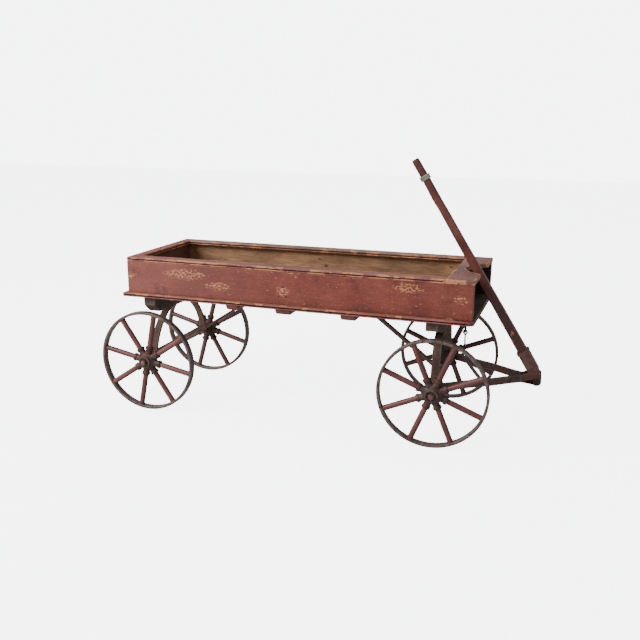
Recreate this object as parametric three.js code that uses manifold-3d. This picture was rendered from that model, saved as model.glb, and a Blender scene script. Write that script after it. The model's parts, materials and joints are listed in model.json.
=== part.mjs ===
// Antique four-wheeled wooden pull wagon: an open box bed on two bolsters, a fixed
// rear axle, a steering front gear turning on a king bolt, and a draw handle that is
// parked leaning back through a notch in the front cap board.
//
// Millimetres. +X is forward, +Y is the left side and +Z is up. While the pieces are
// made, x = 0 is the rear face of the box, y = 0 the centre plane and z = 0 the ground.
// The last lines move the wagon so that its origin lies under the middle of its box.

import * as THREE from 'three';
import { mergeVertices } from 'three/addons/utils/BufferGeometryUtils.js';
import Module from 'manifold-3d';

const wasm = await Module();
wasm.setup();

// ---- Driving dimensions ------------------------------------------------------------

const GAP = 0.3; // left between pieces that touch
const LEFT = 1;
const RIGHT = -1;

const BED = {
  length: 1027,
  halfWidth: 186.6,
  floorTop: 357.7,
  floorThickness: 11.8,
  ledge: 12.5, // how far the floor stands out past the boards
  floorFront: 1033,
  boardThickness: 22,
  boardTop: 452,
  railTop: 464.1,
  railWidth: 39,
  rearRailWidth: 32,
  cornerCut: 11,
};

const CAP = {
  rear: 952,
  front: 1029,
  notchRadius: 89,
  notchDepth: 50,
  frontBoardRear: 955,
};

const BOLSTER = { halfLength: 187, bottom: 298, chamferRise: 23 };
const REAR_BOLSTER = { rear: 52, front: 89, chamferSide: 27 };
const FRONT_BOLSTER = { rear: 905, front: 939, chamferSide: 85 };

const CLEAT = { bottom: 328, chamfer: 10 };
const CLEAT_SPANS = [[321, 357], [474, 517], [667, 708]];

const WHEEL = {
  radius: 152.4,
  tyreWidth: 21,
  tyreThickness: 8.4,
  halfTrack: 202.3,
  rearX: 63.8,
  frontX: 920.6,
  noseLength: 23, // hub end outboard of the tyre's middle plane
  tailLength: 20.3, // hub end inboard of it
  hubRadius: 26,
  noseRadius: 18.5,
  boreRadius: 7.6,
  collarRadius: 12,
  collarReach: 45,
  spokeCount: 8,
  spokeRadius: 8.2,
};

const SPINDLE = { radius: 7, inner: 157.5, outer: 234.4 };
const NUT = { radius: 9, thickness: 7 };

const ARCH = { thickness: 9, footY: 168, footEnd: 139 };
const REAR_ARCH = { width: 20, flat: 40, corner: 70, kneeY: 95, kneeZ: 272, bowY: 156, bowZ: 228 };
const FRONT_ARCH = { width: 23, flat: 50, corner: 105, kneeY: 128, kneeZ: 258, bowY: 152, bowZ: 222 };

const AXLE = { width: 24, top: 168.5, height: 8.5, halfLength: 159, topHalfLength: 156.4 };

const BRACE = { width: 20, thickness: 8, eyeRadius: 16 };
const KING_BOLT = { radius: 6, headRadius: 12, headHeight: 5, bottom: 146 };
const TURN_PLATE = { radius: 22, thickness: 3 };

const HOUND = {
  thickness: 5,
  bottom: 145,
  top: 167,
  innerY: 12.8, // inner face of the parallel ends
  plateBottom: 139,
  plateTop: 177,
  plateRear: 230,
  tip: 282.4,
};
const PIVOT = { x: 269.4, z: 150, radius: 5, headRadius: 9, reach: 25 };

const HANDLE = {
  lean: 31.8, // degrees back from upright when parked
  offset: 7.4, // centre line ahead of the pivot
  length: 711,
  foot: 46,
  baseDepth: 27,
  baseWidth: 27,
  gripSize: 20.5,
  ferruleFromEnd: 58,
  ferruleLength: 14,
  ferruleProud: 2.7,
};

const SOCKET = {
  rim: 96,
  rimLength: 9,
  lip: 1.8, // how far the rim stands out, front and rear
  shoulder: 42,
  rear: -8.6,
  front: 23.4,
  footWidth: 24,
  width: 32.6,
  toeRadius: 13.5,
};

const HOOK = { x: 999, y: -102, ringZ: 305, wire: 2.2, ringWidth: 14, ringHeight: 17, drop: 51 };

const PARKED_STEER = 3.63; // degrees that the front gear stands turned to the left

// ---- Finishes ----------------------------------------------------------------------

const RED_BOARD = { color: 0x96503f, roughness: 0.72, metalness: 0 };
const WORN_RAIL = { color: 0xa5685c, roughness: 0.75, metalness: 0 };
const CAP_TIMBER = { color: 0x967d76, roughness: 0.7, metalness: 0 };
const BARE_TIMBER = { color: 0x8c7355, roughness: 0.85, metalness: 0 };
const DARK_TIMBER = { color: 0x4d4034, roughness: 0.85, metalness: 0 };
const HANDLE_TIMBER = { color: 0x7d3a28, roughness: 0.55, metalness: 0 };
const SPOKE_PAINT = { color: 0x965250, roughness: 0.6, metalness: 0 };
const OLD_IRON = { color: 0x5a4844, roughness: 0.65, metalness: 0.6 };
const TYRE_IRON = { color: 0x6a5551, roughness: 0.6, metalness: 0.6 };
const BRIGHT_IRON = { color: 0x82796b, roughness: 0.5, metalness: 0.7 };

// ---- Geometry helpers --------------------------------------------------------------

function point(x, y) {
  return new THREE.Vector2(x, y);
}

function radians(degrees) {
  return THREE.MathUtils.degToRad(degrees);
}

function block(x, y, z) {
  const geometry = new THREE.BoxGeometry(x[1] - x[0], y[1] - y[0], z[1] - z[0]);
  return geometry.translate((x[0] + x[1]) / 2, (y[0] + y[1]) / 2, (z[0] + z[1]) / 2);
}

function extruded(outline, depth) {
  const shape = outline instanceof THREE.Shape ? outline : new THREE.Shape(outline);
  return new THREE.ExtrudeGeometry(shape, { depth, bevelEnabled: false, curveSegments: 16 });
}

// An outline in (y, z), run along X.
function prismX(outline, rear, front) {
  const turn = new THREE.Matrix4().makeBasis(
    new THREE.Vector3(0, 1, 0),
    new THREE.Vector3(0, 0, 1),
    new THREE.Vector3(1, 0, 0),
  );
  return extruded(outline, front - rear).applyMatrix4(turn).translate(rear, 0, 0);
}

// An outline in (x, z), run along Y.
function prismY(outline, right, left) {
  const turn = new THREE.Matrix4().makeBasis(
    new THREE.Vector3(1, 0, 0),
    new THREE.Vector3(0, 0, 1),
    new THREE.Vector3(0, -1, 0),
  );
  return extruded(outline, left - right).applyMatrix4(turn).translate(0, left, 0);
}

// An outline in (x, y), run along Z.
function prismZ(outline, bottom, top) {
  return extruded(outline, top - bottom).translate(0, 0, bottom);
}

function rod(start, end, radius, sides = 12) {
  const axis = new THREE.Vector3(...end).sub(new THREE.Vector3(...start));
  const geometry = new THREE.CylinderGeometry(radius, radius, axis.length(), sides);
  const up = new THREE.Vector3(0, 1, 0);
  geometry.applyQuaternion(new THREE.Quaternion().setFromUnitVectors(up, axis.clone().normalize()));
  const middle = axis.multiplyScalar(0.5).add(new THREE.Vector3(...start));
  return geometry.translate(middle.x, middle.y, middle.z);
}

// The closed outline of a strip of even thickness along a centre line.
function stripOutline(centreline, thickness) {
  const left = [];
  const right = [];
  centreline.forEach((here, i) => {
    const before = centreline[Math.max(i - 1, 0)];
    const after = centreline[Math.min(i + 1, centreline.length - 1)];
    const arriving = i > 0 ? here.clone().sub(before).normalize() : after.clone().sub(here).normalize();
    const leaving = here === after ? arriving : after.clone().sub(here).normalize();
    const tangent = arriving.clone().add(leaving).normalize();
    const normal = point(-tangent.y, tangent.x);
    const reach = thickness / 2 / normal.dot(point(-arriving.y, arriving.x));
    left.push(here.clone().addScaledVector(normal, reach));
    right.push(here.clone().addScaledVector(normal, -reach));
  });
  return [...right, ...left.reverse()];
}

// ---- Solids that are cut or joined -------------------------------------------------

function solid(geometry) {
  const bare = geometry.clone();
  bare.deleteAttribute('normal');
  bare.deleteAttribute('uv');
  const merged = mergeVertices(bare, 1e-4);
  const vertProperties = new Float32Array(merged.attributes.position.array);
  const triVerts = new Uint32Array(merged.index.array);
  return new wasm.Manifold(new wasm.Mesh({ numProp: 3, vertProperties, triVerts }));
}

function surface(manifold) {
  const mesh = manifold.getMesh();
  const geometry = new THREE.BufferGeometry();
  geometry.setAttribute('position', new THREE.BufferAttribute(new Float32Array(mesh.vertProperties), 3));
  geometry.setIndex(new THREE.BufferAttribute(new Uint32Array(mesh.triVerts), 1));
  geometry.computeVertexNormals();
  return geometry;
}

function join(...geometries) {
  return surface(geometries.map(solid).reduce((whole, next) => whole.add(next)));
}

function cut(geometry, ...tools) {
  return surface(tools.map(solid).reduce((rest, tool) => rest.subtract(tool), solid(geometry)));
}

function addPiece(parent, name, geometry, finish) {
  const mesh = new THREE.Mesh(geometry, new THREE.MeshStandardMaterial(finish));
  mesh.name = name;
  parent.add(mesh);
}

// ---- Box bed -----------------------------------------------------------------------

const wagon = new THREE.Group();
const frontGear = new THREE.Group();
frontGear.position.set(WHEEL.frontX, 0, 0);
frontGear.rotation.z = radians(PARKED_STEER);
wagon.add(frontGear);

const boardBottom = BED.floorTop + GAP;
const railBottom = BED.boardTop + GAP;
const floorBottom = BED.floorTop - BED.floorThickness;
const boardInside = BED.halfWidth - BED.boardThickness;
const railInside = BED.halfWidth - BED.railWidth;
const underFloor = floorBottom - GAP;

function kingBoltHole(x, radius = KING_BOLT.radius + GAP) {
  return rod([x, 0, 100], [x, 0, 400], radius, 16);
}

function addBoards() {
  const height = [boardBottom, BED.boardTop];
  const between = [-boardInside + GAP, boardInside - GAP];
  const frontBoard = [CAP.frontBoardRear, CAP.frontBoardRear + BED.boardThickness];
  const left = block([0, BED.length], [boardInside, BED.halfWidth], height);
  const right = block([0, BED.length], [-BED.halfWidth, -boardInside], height);
  addPiece(wagon, 'side_board_left', left, RED_BOARD);
  addPiece(wagon, 'side_board_right', right, RED_BOARD);
  addPiece(wagon, 'rear_board', block([0, BED.boardThickness], between, height), RED_BOARD);
  addPiece(wagon, 'front_board', block(frontBoard, between, height), BARE_TIMBER);
}

function addRails() {
  const height = [railBottom, BED.railTop];
  const along = [0, CAP.rear - GAP];
  const across = [-railInside + GAP, railInside - GAP];
  addPiece(wagon, 'side_rail_left', block(along, [railInside, BED.halfWidth], height), WORN_RAIL);
  addPiece(wagon, 'side_rail_right', block(along, [-BED.halfWidth, -railInside], height), WORN_RAIL);
  addPiece(wagon, 'rear_rail', block([0, BED.rearRailWidth], across, height), WORN_RAIL);
}

// The cap board has a round notch in its front edge, where the parked handle passes.
function addFrontCap() {
  const centre = CAP.front - CAP.notchDepth + CAP.notchRadius;
  const opening = Math.acos((centre - CAP.front) / CAP.notchRadius);
  const outline = new THREE.Shape();
  outline.moveTo(CAP.rear, -BED.halfWidth);
  outline.lineTo(CAP.front, -BED.halfWidth);
  outline.absarc(centre, 0, CAP.notchRadius, Math.PI + opening, Math.PI - opening, true);
  outline.lineTo(CAP.front, BED.halfWidth);
  outline.lineTo(CAP.rear, BED.halfWidth);
  addPiece(wagon, 'front_cap', prismZ(outline, railBottom, BED.railTop), CAP_TIMBER);
}

function addFloor() {
  const edge = BED.halfWidth + BED.ledge;
  const seam = edge / 3;
  const rear = -BED.ledge;
  const cutX = BED.floorFront - BED.cornerCut;
  const cutY = edge - BED.cornerCut;
  for (const [name, side] of [['floor_board_left', LEFT], ['floor_board_right', RIGHT]]) {
    const outline = [
      point(rear, side * (seam + GAP)),
      point(BED.floorFront, side * (seam + GAP)),
      point(BED.floorFront, side * cutY),
      point(cutX, side * edge),
      point(rear, side * edge),
    ];
    addPiece(wagon, name, prismZ(outline, floorBottom, BED.floorTop), BARE_TIMBER);
  }
  const centreBoard = block([rear, BED.floorFront], [-seam, seam], [floorBottom, BED.floorTop]);
  addPiece(wagon, 'floor_board_centre', cut(centreBoard, kingBoltHole(WHEEL.frontX)), BARE_TIMBER);
}

function addCleats() {
  const half = BOLSTER.halfLength;
  const outline = [
    point(-half + CLEAT.chamfer, CLEAT.bottom),
    point(half - CLEAT.chamfer, CLEAT.bottom),
    point(half, CLEAT.bottom + CLEAT.chamfer),
    point(half, underFloor),
    point(-half, underFloor),
    point(-half, CLEAT.bottom + CLEAT.chamfer),
  ];
  CLEAT_SPANS.forEach(([rear, front], i) => {
    addPiece(wagon, `cleat_${i + 1}`, prismX(outline, rear, front), DARK_TIMBER);
  });
}

function bolsterSolid({ rear, front, chamferSide }) {
  const half = BOLSTER.halfLength;
  const outline = [
    point(-half + chamferSide, BOLSTER.bottom),
    point(half - chamferSide, BOLSTER.bottom),
    point(half, BOLSTER.bottom + BOLSTER.chamferRise),
    point(half, underFloor),
    point(-half, underFloor),
    point(-half, BOLSTER.bottom + BOLSTER.chamferRise),
  ];
  return prismX(outline, rear, front);
}

// ---- Running gear ------------------------------------------------------------------

// A bowed band: flat crown, legs that bend down from it, and feet round the spindles.
function archSolid(x, crownTop, bow) {
  const crown = crownTop - ARCH.thickness / 2;
  const half = new THREE.Path();
  half.moveTo(0, crown);
  half.lineTo(bow.flat, crown);
  half.quadraticCurveTo(bow.corner, crown, bow.kneeY, bow.kneeZ);
  half.quadraticCurveTo(bow.bowY, bow.bowZ, ARCH.footY, ARCH.footEnd);
  const leftHalf = half.getPoints(7);
  const rightHalf = leftHalf.map((p) => point(-p.x, p.y)).reverse();
  const outline = stripOutline([...rightHalf, ...leftHalf.slice(1)], ARCH.thickness);
  const band = prismX(outline, x - bow.width / 2, x + bow.width / 2);
  const reach = SPINDLE.outer;
  return cut(band, rod([x, -reach, WHEEL.radius], [x, reach, WHEEL.radius], SPINDLE.radius + GAP));
}

function axleBeamSolid(x) {
  const bottom = AXLE.top - AXLE.height;
  const outline = [
    point(-AXLE.halfLength, bottom),
    point(AXLE.halfLength, bottom),
    point(AXLE.topHalfLength, AXLE.top),
    point(-AXLE.topHalfLength, AXLE.top),
  ];
  return prismX(outline, x - AXLE.width / 2, x + AXLE.width / 2);
}

function addSpindle(parent, name, x, side) {
  const start = [x, side * SPINDLE.inner, WHEEL.radius];
  const end = [x, side * SPINDLE.outer, WHEEL.radius];
  addPiece(parent, `${name}_spindle`, rod(start, end, SPINDLE.radius), OLD_IRON);
  const nutStart = WHEEL.halfTrack + WHEEL.noseLength + 2 * GAP;
  const from = [x, side * nutStart, WHEEL.radius];
  const to = [x, side * (nutStart + NUT.thickness), WHEEL.radius];
  const nut = cut(rod(from, to, NUT.radius, 6), rod(start, end, SPINDLE.radius + GAP));
  addPiece(parent, `${name}_nut`, nut, OLD_IRON);
}

function spokeStar(firstAngle, extra = 0) {
  const inner = 12 - extra;
  const outer = 18 + extra;
  const half = 5 + extra;
  const ring = new THREE.LatheGeometry(
    [point(inner, -half), point(outer, -half), point(outer, half), point(inner, half), point(inner, -half)],
    16,
  );
  const tip = WHEEL.radius - WHEEL.tyreThickness - 4 * GAP;
  const spokes = Array.from({ length: WHEEL.spokeCount }, (_, k) => {
    const angle = radians(firstAngle) + (k * 2 * Math.PI) / WHEEL.spokeCount;
    const direction = [Math.cos(angle), 0, Math.sin(angle)];
    const start = direction.map((c) => c * 15);
    const end = direction.map((c) => c * tip);
    return rod(start, end, WHEEL.spokeRadius + extra, 8);
  });
  return { ring, spokes };
}

function hubSolid(firstAngle) {
  const nose = -WHEEL.noseLength;
  const tail = WHEEL.tailLength;
  const drum = new THREE.LatheGeometry(
    [
      point(WHEEL.boreRadius, nose),
      point(WHEEL.noseRadius - 1.5, nose),
      point(WHEEL.noseRadius, nose + 10),
      point(WHEEL.hubRadius, -9),
      point(WHEEL.hubRadius, 9),
      point(21, tail - 6),
      point(19, tail),
      point(WHEEL.boreRadius, tail),
      point(WHEEL.boreRadius, nose),
    ],
    16,
  );
  const collars = Array.from({ length: WHEEL.spokeCount }, (_, k) => {
    const angle = radians(firstAngle) + (k * 2 * Math.PI) / WHEEL.spokeCount;
    const direction = [Math.cos(angle), 0, Math.sin(angle)];
    const start = direction.map((c) => c * 19);
    const end = direction.map((c) => c * WHEEL.collarReach);
    return rod(start, end, WHEEL.collarRadius, 6);
  });
  const { ring, spokes } = spokeStar(firstAngle, GAP);
  return cut(join(drum, ...collars), ring, ...spokes);
}

// The wheel turns on Y and its nose points to -Y, so a left wheel stands turned about.
function addWheel(parent, name, x, side, spokeAngle) {
  const wheel = new THREE.Group();
  wheel.position.set(x, side * WHEEL.halfTrack, WHEEL.radius);
  wheel.rotation.z = side === LEFT ? Math.PI : 0;
  parent.add(wheel);
  const firstAngle = side === LEFT ? 180 - spokeAngle : spokeAngle;
  const inside = WHEEL.radius - WHEEL.tyreThickness;
  const half = WHEEL.tyreWidth / 2;
  const tyre = new THREE.LatheGeometry(
    [
      point(inside, -half),
      point(WHEEL.radius, -half),
      point(WHEEL.radius, half),
      point(inside, half),
      point(inside, -half),
    ],
    40,
  );
  const { ring, spokes } = spokeStar(firstAngle);
  addPiece(wheel, `${name}_tyre`, tyre, TYRE_IRON);
  addPiece(wheel, `${name}_hub`, hubSolid(firstAngle), OLD_IRON);
  addPiece(wheel, `${name}_spokes`, join(ring, ...spokes), SPOKE_PAINT);
}

function braceStrip(centreline) {
  return prismY(stripOutline(centreline, BRACE.thickness), -BRACE.width / 2, BRACE.width / 2);
}

function addRearGear() {
  const x = WHEEL.rearX;
  addPiece(wagon, 'rear_bolster', bolsterSolid(REAR_BOLSTER), DARK_TIMBER);
  addPiece(wagon, 'rear_arch', archSolid(x, BOLSTER.bottom - GAP, REAR_ARCH), DARK_TIMBER);
  addPiece(wagon, 'rear_axle_beam', axleBeamSolid(x), DARK_TIMBER);
  const [cleatRear, cleatFront] = CLEAT_SPANS[0];
  const padZ = CLEAT.bottom - GAP - BRACE.thickness / 2;
  const seatZ = AXLE.top + GAP + BRACE.thickness / 2;
  const centreline = [
    point(cleatFront - 2, padZ),
    point(cleatRear + 6, padZ),
    point(x + 32, seatZ),
    point(x - AXLE.width / 2, seatZ),
  ];
  addPiece(wagon, 'rear_brace', braceStrip(centreline), OLD_IRON);
}

function addKingBolt() {
  const x = WHEEL.frontX;
  const head = rod([x, 0, boardBottom], [x, 0, boardBottom + KING_BOLT.headHeight], KING_BOLT.headRadius, 16);
  const shank = rod([x, 0, KING_BOLT.bottom], [x, 0, boardBottom + 1], KING_BOLT.radius, 16);
  addPiece(wagon, 'king_bolt', join(head, shank), OLD_IRON);
  const nutTop = AXLE.top - AXLE.height - 2 * GAP;
  const nut = rod([x, 0, nutTop - 9], [x, 0, nutTop], 11, 6);
  addPiece(wagon, 'king_nut', cut(nut, kingBoltHole(x)), OLD_IRON);
}

function addFrontBrace() {
  const x = WHEEL.frontX;
  const [cleatRear, cleatFront] = CLEAT_SPANS[2];
  const padZ = CLEAT.bottom - GAP - BRACE.thickness / 2;
  const eyeZ = AXLE.top + 1 + BRACE.thickness / 2;
  const centreline = [
    point(cleatRear + 2, padZ),
    point(cleatFront - 14, padZ),
    point(x - 28, eyeZ),
    point(x, eyeZ),
  ];
  const half = BRACE.thickness / 2;
  const eye = rod([x, 0, eyeZ - half], [x, 0, eyeZ + half], BRACE.eyeRadius, 20);
  const strap = join(braceStrip(centreline), eye);
  addPiece(wagon, 'front_brace', cut(strap, kingBoltHole(x, KING_BOLT.radius + 2 * GAP)), OLD_IRON);
}

// ---- Steering front gear, in its own group about the king bolt ----------------------

function addFrontGear() {
  const plateTop = BOLSTER.bottom - GAP;
  const plateBottom = plateTop - TURN_PLATE.thickness;
  const plate = rod([0, 0, plateBottom], [0, 0, plateTop], TURN_PLATE.radius, 24);
  const arch = archSolid(0, plateBottom - GAP, FRONT_ARCH);
  addPiece(frontGear, 'turn_plate', cut(plate, kingBoltHole(0)), OLD_IRON);
  addPiece(frontGear, 'front_arch', cut(arch, kingBoltHole(0)), DARK_TIMBER);
  addPiece(frontGear, 'front_axle_beam', cut(axleBeamSolid(0), kingBoltHole(0)), DARK_TIMBER);
}

// Each hound is a flat bar on edge: a lug on the axle beam, a long curve forward and
// inward, and an end that stands parallel to its twin with the handle's foot between.
function houndSolid(side) {
  const lugX = AXLE.width / 2 + GAP + HOUND.thickness / 2;
  const endY = HOUND.innerY + HOUND.thickness / 2;
  const path = new THREE.Path();
  path.moveTo(lugX, 122);
  path.lineTo(lugX, 145);
  path.quadraticCurveTo(lugX, 150, lugX + 5, 149);
  path.splineThru([point(96, 99), point(146, 70), point(198, 32), point(226, endY)]);
  path.lineTo(HOUND.tip, endY);
  const centreline = path.getPoints(3).map((p) => point(p.x, side * p.y));
  const bar = prismZ(stripOutline(centreline, HOUND.thickness), HOUND.bottom, HOUND.top);
  const plateFaces = [side * HOUND.innerY, side * (HOUND.innerY + HOUND.thickness)];
  const plateOutline = [
    point(HOUND.plateRear, HOUND.bottom),
    point(HOUND.tip - 8, HOUND.plateBottom),
    point(HOUND.tip - 2, HOUND.plateBottom + 3),
    point(HOUND.tip, HOUND.plateBottom + 9),
    point(HOUND.tip, HOUND.plateTop - 8),
    point(HOUND.tip - 2, HOUND.plateTop - 2.5),
    point(HOUND.tip - 8, HOUND.plateTop),
    point(HOUND.plateRear + 22, HOUND.plateTop),
    point(HOUND.plateRear, HOUND.top),
  ];
  const plate = prismY(plateOutline, Math.min(...plateFaces), Math.max(...plateFaces));
  const hole = rod([PIVOT.x, -50, PIVOT.z], [PIVOT.x, 50, PIVOT.z], PIVOT.radius + GAP);
  return cut(join(bar, plate), hole);
}

function addHounds() {
  addPiece(frontGear, 'hound_left', houndSolid(LEFT), OLD_IRON);
  addPiece(frontGear, 'hound_right', houndSolid(RIGHT), OLD_IRON);
  const centreline = [point(44, 134), point(118, -92)];
  const bottom = HOUND.top + GAP;
  addPiece(frontGear, 'hound_brace', prismZ(stripOutline(centreline, 11), bottom, bottom + 4), OLD_IRON);
}

function addPivot() {
  const face = HOUND.innerY + HOUND.thickness + GAP;
  const at = (y) => [PIVOT.x, y, PIVOT.z];
  const head = rod(at(-face - 6), at(-face), PIVOT.headRadius, 12);
  const shank = rod(at(-face - 1), at(PIVOT.reach), PIVOT.radius, 12);
  addPiece(frontGear, 'pivot_bolt', join(head, shank), OLD_IRON);
  const nut = rod(at(face), at(face + 6), PIVOT.headRadius, 6);
  const hole = rod(at(0), at(PIVOT.reach + 5), PIVOT.radius + GAP, 12);
  addPiece(frontGear, 'pivot_nut', cut(nut, hole), OLD_IRON);
}

// ---- Draw handle, in its own group: +Z runs up the handle and +X is its front ------

const handle = new THREE.Group();
handle.position.set(PIVOT.x, 0, PIVOT.z);
handle.rotation.y = -radians(HANDLE.lean);
frontGear.add(handle);

// The bar tapers evenly from its foot in the socket to the grip end.
function barSolid(extra = 0) {
  const length = HANDLE.length - HANDLE.foot;
  const bar = new THREE.BoxGeometry(HANDLE.baseDepth + 2 * extra, HANDLE.baseWidth + 2 * extra, length + 2 * extra);
  const corners = bar.attributes.position;
  for (let i = 0; i < corners.count; i += 1) {
    if (corners.getZ(i) > 0) {
      corners.setX(i, Math.sign(corners.getX(i)) * (HANDLE.gripSize / 2 + extra));
      corners.setY(i, Math.sign(corners.getY(i)) * (HANDLE.gripSize / 2 + extra));
    }
  }
  return bar.translate(HANDLE.offset, 0, (HANDLE.foot + HANDLE.length) / 2);
}

function socketSolid() {
  const halfFoot = SOCKET.footWidth / 2;
  const foot = new THREE.Shape();
  foot.moveTo(SOCKET.rear, SOCKET.shoulder + 1);
  foot.lineTo(-SOCKET.toeRadius, 0);
  foot.absarc(0, 0, SOCKET.toeRadius, Math.PI, 2 * Math.PI, false);
  foot.lineTo(SOCKET.front, SOCKET.shoulder - 12);
  foot.lineTo(SOCKET.front, SOCKET.shoulder + 1);
  const sleeve = block(
    [SOCKET.rear, SOCKET.front],
    [-SOCKET.width / 2, SOCKET.width / 2],
    [SOCKET.shoulder, SOCKET.rim],
  );
  const rim = block(
    [SOCKET.rear - SOCKET.lip, SOCKET.front + SOCKET.lip],
    [-SOCKET.width / 2, SOCKET.width / 2],
    [SOCKET.rim - SOCKET.rimLength, SOCKET.rim],
  );
  const hole = rod([0, -30, 0], [0, 30, 0], PIVOT.radius + GAP);
  return cut(join(prismY(foot, -halfFoot, halfFoot), sleeve, rim), barSolid(GAP), hole);
}

function addHandle() {
  const middle = HANDLE.length - HANDLE.ferruleFromEnd;
  const half = HANDLE.gripSize / 2 + HANDLE.ferruleProud + 0.3;
  const band = block(
    [HANDLE.offset - half, HANDLE.offset + half],
    [-half, half],
    [middle - HANDLE.ferruleLength / 2, middle + HANDLE.ferruleLength / 2],
  );
  addPiece(handle, 'handle_bar', barSolid(), HANDLE_TIMBER);
  addPiece(handle, 'handle_ferrule', cut(band, barSolid(GAP)), BRIGHT_IRON);
  addPiece(handle, 'handle_socket', socketSolid(), OLD_IRON);
}

// ---- Hook that swings in a staple under the floor ----------------------------------

function circle(radius, sides = 6) {
  return Array.from({ length: sides }, (_, k) => {
    const angle = (k * 2 * Math.PI) / sides;
    return point(radius * Math.cos(angle), radius * Math.sin(angle));
  });
}

function wire(points, radius) {
  const section = new THREE.Shape(circle(radius));
  const path = new THREE.CatmullRomCurve3(points.map((p) => new THREE.Vector3(...p)));
  return new THREE.ExtrudeGeometry(section, { steps: 16, extrudePath: path, bevelEnabled: false });
}

function addHook() {
  const { x, y, ringZ, wire: radius } = HOOK;
  const stretch = HOOK.ringHeight / HOOK.ringWidth;
  const barZ = ringZ + HOOK.ringHeight / 2 - 2 * radius * stretch - radius - 2 * GAP;
  const staple = wire(
    [
      [x, y - 6, underFloor],
      [x, y - 6, barZ + 8],
      [x, y - 4.5, barZ + 1],
      [x, y, barZ],
      [x, y + 4.5, barZ + 1],
      [x, y + 6, barZ + 8],
      [x, y + 6, underFloor],
    ],
    radius,
  );
  const middle = HOOK.ringWidth / 2 - radius;
  const profile = circle(radius).map((p) => point(middle + p.x, p.y));
  const ring = new THREE.LatheGeometry([...profile, profile[0]], 16);
  ring.scale(1, 1, stretch);
  ring.translate(x, y, ringZ);
  const top = ringZ - HOOK.ringHeight / 2 + radius;
  const bottom = ringZ - HOOK.drop + radius;
  const shank = wire(
    [
      [x, y, top],
      [x, y, bottom + 14],
      [x - 2, y, bottom + 4],
      [x - 6, y, bottom],
      [x - 10, y, bottom + 4],
      [x - 11, y, bottom + 9],
    ],
    radius,
  );
  addPiece(wagon, 'hook_staple', staple, OLD_IRON);
  addPiece(wagon, 'hook', join(ring, shank), OLD_IRON);
}

// ---- Assembly ----------------------------------------------------------------------

addBoards();
addRails();
addFrontCap();
addFloor();
addCleats();
addRearGear();
addPiece(wagon, 'front_bolster', cut(bolsterSolid(FRONT_BOLSTER), kingBoltHole(WHEEL.frontX)), DARK_TIMBER);
addKingBolt();
addFrontBrace();
addFrontGear();
addHounds();
addPivot();
addHandle();
addHook();

for (const [name, parent, x, side, spokeAngle] of [
  ['rear_right', wagon, WHEEL.rearX, RIGHT, 33.85],
  ['rear_left', wagon, WHEEL.rearX, LEFT, 29.5],
  ['front_right', frontGear, 0, RIGHT, 22.41],
  ['front_left', frontGear, 0, LEFT, 21.5],
]) {
  addSpindle(parent, name, x, side);
  addWheel(parent, name, x, side, spokeAngle);
}

wagon.updateMatrixWorld(true);
const bounds = new THREE.Box3().setFromObject(wagon, true);
const group = new THREE.Group();
wagon.position.set(-(bounds.min.x + bounds.max.x) / 2, -(bounds.min.y + bounds.max.y) / 2, -bounds.min.z);
group.add(wagon);

export default group;
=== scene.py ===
import json
from math import cos, pi, radians, sin

import bmesh
import bpy
from mathutils import Matrix, Vector, noise


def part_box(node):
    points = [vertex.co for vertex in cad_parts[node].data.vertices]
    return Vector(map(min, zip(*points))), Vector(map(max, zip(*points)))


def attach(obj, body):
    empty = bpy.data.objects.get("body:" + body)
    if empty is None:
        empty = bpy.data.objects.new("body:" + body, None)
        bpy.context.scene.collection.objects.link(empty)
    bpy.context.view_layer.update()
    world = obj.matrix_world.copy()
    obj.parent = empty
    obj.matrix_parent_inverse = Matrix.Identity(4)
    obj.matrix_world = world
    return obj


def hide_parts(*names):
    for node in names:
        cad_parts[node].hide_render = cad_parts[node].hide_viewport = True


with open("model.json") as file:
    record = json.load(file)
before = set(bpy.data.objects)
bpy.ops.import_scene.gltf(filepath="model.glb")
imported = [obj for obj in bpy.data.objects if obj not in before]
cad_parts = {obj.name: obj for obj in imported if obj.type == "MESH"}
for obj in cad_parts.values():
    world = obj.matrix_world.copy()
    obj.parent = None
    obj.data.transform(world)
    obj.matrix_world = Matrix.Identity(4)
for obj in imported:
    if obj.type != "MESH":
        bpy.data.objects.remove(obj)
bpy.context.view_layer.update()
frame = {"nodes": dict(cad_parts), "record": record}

NODES = frame["nodes"]
JOINTS = {joint["name"]: joint for joint in frame["record"]["behaviour"]["joints"]}
MM = 0.001
UP = Vector((0, 0, 1))

# ---- Driving values, in millimetres and degrees --------------------------------------

SPOKE_ANGLES = {"rear_right": 33.85, "rear_left": 29.5, "front_right": 22.41, "front_left": 21.5}
SPOKE_COUNT = 8
TYRE = dict(radius=152.4, width=21, thickness=8.4, corner=2.0)
HUB = dict(nose=23, tail=20.3, bore=7.8, drum=26, ring=18.5)
COLLAR = dict(start=18, neck=10.2, rim=12, rim_start=36.5, reach=45)
SPOKE_RADIUS = 8.2
SPINDLE = dict(radius=7, inner=-44.8, outer=31.9)
HANDLE_LEAN = 31.8
HANDLE = dict(offset=7.4, foot=46, length=711, base=13.3, grip=10.1, swell=1.3, swell_at=590, swell_reach=34)
HANDLE_END_INSET = (1.3, 0.35)  # how far the bar's last two rings draw in
HOOK = dict(
    wire=2.2,
    half_width=4.8,
    half_height=5.83,
    below_pivot=0.36,
    shank=((0, 0), (0, -14), (0, -28.5), (-2, -38.5), (-6, -42.5), (-10, -38.5), (-11, -33.5)),
    staple=((-6, 40.2), (-6, 8), (-4.5, 1), (0, 0), (4.5, 1), (6, 8), (6, 40.2)),
)

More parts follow.
